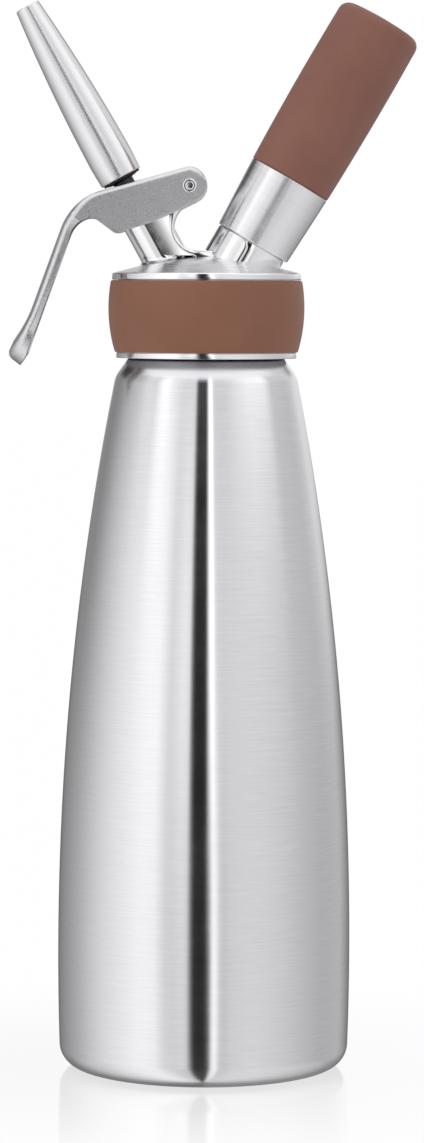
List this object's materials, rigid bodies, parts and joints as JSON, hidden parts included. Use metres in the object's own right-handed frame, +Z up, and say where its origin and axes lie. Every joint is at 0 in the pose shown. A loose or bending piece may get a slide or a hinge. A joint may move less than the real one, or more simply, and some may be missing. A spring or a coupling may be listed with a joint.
{
  "type": "whipped cream dispenser",
  "caption": "Tall steel cream whipper with a screw-on lever head, a slanted decorator tip and a slanted charger holder with a silicone grip.",
  "frame": {"origin": "centre of the bottle's foot ring, on the surface it stands on", "axes": "+Z up the bottle's axis; +X towards the side the charger holder leans to; the lever's handle and the decorator tip are on the -X side"},
  "size_m": [0.1356, 0.096, 0.3506],
  "materials": {
    "brushed_steel": "fine circular brushing",
    "turned_steel": "turned, bright",
    "polished_steel": "polished",
    "satin_steel": "satin faces with polished edges",
    "spring_steel": "drawn wire",
    "plated_steel": "plated, slightly dull",
    "foil": "bright foil",
    "brown_silicone": "matte moulded silicone",
    "black_rubber": "matte",
    "grey_rubber": "matte",
    "black_plastic": "matte",
    "white_plastic": "matte"
  },
  "bodies": {
    "bottle": {"bottle_shell": "brushed_steel", "neck_ring": "turned_steel"},
    "gasket": {"head_gasket": "grey_rubber"},
    "head": {"head_cap": "polished_steel", "head_band": "brown_silicone", "valve_tower": "polished_steel", "stem_guide_bush": "white_plastic", "lever_bracket": "polished_steel", "pivot_pin": "turned_steel", "charger_boss": "polished_steel", "piercing_pin": "turned_steel", "charger_seal": "black_rubber", "check_valve_nut": "turned_steel", "return_spring": "spring_steel"},
    "lever": {"lever": "satin_steel"},
    "stem": {"valve_stem": "turned_steel", "stem_o_ring": "black_rubber", "stem_seal": "black_rubber", "seal_nut": "turned_steel", "press_collar": "turned_steel", "tip_adapter": "black_plastic"},
    "washer": {"tip_washer": "black_rubber"},
    "tip": {"decorator_tip": "polished_steel"},
    "charger": {"gas_charger": "plated_steel", "charger_foil": "foil"},
    "holder": {"charger_sleeve": "brushed_steel", "holder_grip": "brown_silicone"},
    "check_valve": {"check_valve_disc": "black_rubber"}
  },
  "joints": [
    {"name": "head_lift", "type": "slide", "parent": "bottle", "child": "gasket", "axis": [0, 0, 1], "range_m": [0, 0.01055]},
    {"name": "head_turn", "type": "hinge", "parent": "gasket", "child": "head", "pos_m": [0, 0, 0.253], "axis": [0, 0, 1], "range_deg": [0, 1080]},
    {"name": "lever_squeeze", "type": "hinge", "parent": "head", "child": "lever", "pos_m": [-0.0056, 0, 0.2896], "axis": [0, -1, 0], "range_deg": [0, 9], "stiffness_Nm_per_rad": 0.9, "springref_deg": -11.46},
    {"name": "stem_travel", "type": "slide", "parent": "head", "child": "stem", "axis": [0.4848, 0, -0.8746], "range_m": [0, 0.00305], "stiffness_N_per_m": 250, "springref_m": -0.004, "deforming": ["return_spring"]},
    {"name": "tip_lift", "type": "slide", "parent": "stem", "child": "washer", "axis": [-0.4848, 0, 0.8746], "range_m": [0, 0.0068]},
    {"name": "tip_turn", "type": "hinge", "parent": "washer", "child": "tip", "pos_m": [-0.02826, 0, 0.2922], "axis": [-0.4848, 0, 0.8746], "range_deg": [0, 1620]},
    {"name": "charger_slide", "type": "slide", "parent": "head", "child": "charger", "axis": [0.5, 0, 0.866], "range_m": [0, 0.01005]},
    {"name": "holder_turn", "type": "hinge", "parent": "charger", "child": "holder", "pos_m": [0.01516, 0, 0.2708], "axis": [0.5, 0, 0.866], "range_deg": [0, 1800]},
    {"name": "check_valve_lift", "type": "slide", "parent": "head", "child": "check_valve", "axis": [-0.5, 0, -0.866], "range_m": [0, 0.0006]}
  ],
  "couplings": [
    {"joint": "head_lift", "follows": "head_turn", "m_per_rad": 0.00055704},
    {"joint": "stem_travel", "follows": "lever_squeeze", "m_per_rad": 0.0192},
    {"joint": "tip_lift", "follows": "tip_turn", "m_per_rad": 0.00023873},
    {"joint": "charger_slide", "follows": "holder_turn", "m_per_rad": 0.00031831}
  ]
}
